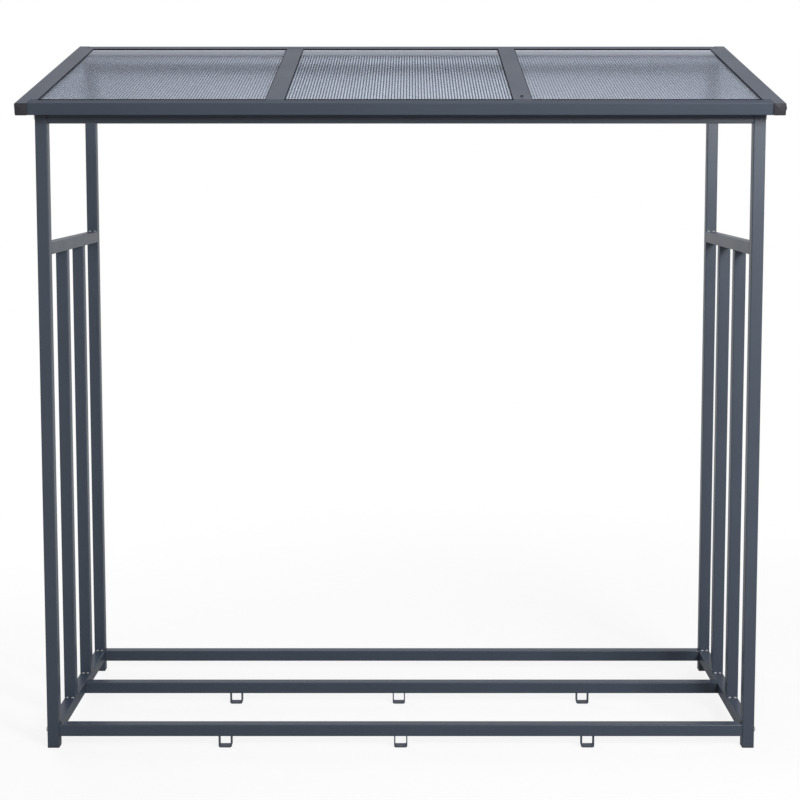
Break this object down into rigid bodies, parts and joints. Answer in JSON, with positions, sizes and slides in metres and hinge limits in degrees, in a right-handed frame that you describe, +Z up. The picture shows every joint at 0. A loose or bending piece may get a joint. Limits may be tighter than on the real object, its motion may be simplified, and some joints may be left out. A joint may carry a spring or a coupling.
{
  "type": "log store",
  "caption": "Open log store: a frame of square steel tube with barred sides under a pent roof of twin-wall sheets.",
  "frame": {"origin": "on the ground, under the middle of the whole store, roof overhangs included", "axes": "+X to the right along the width, +Y to the back, where the roof is highest, +Z up"},
  "size_m": [1.557, 0.6846, 1.5087],
  "materials": {
    "frame_paint": "satin powder coat, anthracite",
    "glazing": "translucent fluted twin-wall sheet",
    "plastic": "moulded black",
    "plated_steel": "bright zinc plate"
  },
  "bodies": {
    "root": {"front_left_post": "frame_paint", "front_right_post": "frame_paint", "back_left_post": "frame_paint", "back_right_post": "frame_paint", "left_bottom_rail": "frame_paint", "right_bottom_rail": "frame_paint", "left_top_rail": "frame_paint", "right_top_rail": "frame_paint", "left_front_bar": "frame_paint", "left_back_bar": "frame_paint", "right_front_bar": "frame_paint", "right_back_bar": "frame_paint", "front_bottom_rail": "frame_paint", "middle_bottom_rail": "frame_paint", "back_bottom_rail": "frame_paint", "front_top_beam": "frame_paint", "back_top_beam": "frame_paint", "front_left_foot": "frame_paint", "front_centre_foot": "frame_paint", "front_right_foot": "frame_paint", "middle_left_foot": "frame_paint", "middle_centre_foot": "frame_paint", "middle_right_foot": "frame_paint", "front_left_plug": "plastic", "front_right_plug": "plastic", "back_left_plug": "plastic", "back_right_plug": "plastic", "left_rafter": "frame_paint", "right_rafter": "frame_paint", "left_glazing_bar": "frame_paint", "right_glazing_bar": "frame_paint", "front_eaves": "frame_paint", "back_eaves": "frame_paint", "left_sheet": "glazing", "middle_sheet": "glazing", "right_sheet": "glazing", "left_front_cap": "plastic", "right_front_cap": "plastic", "left_back_cap": "plastic", "right_back_cap": "plastic", "left_bolts": "plated_steel", "right_bolts": "plated_steel", "roof_bolt": "plated_steel"}
  },
  "joints": []
}
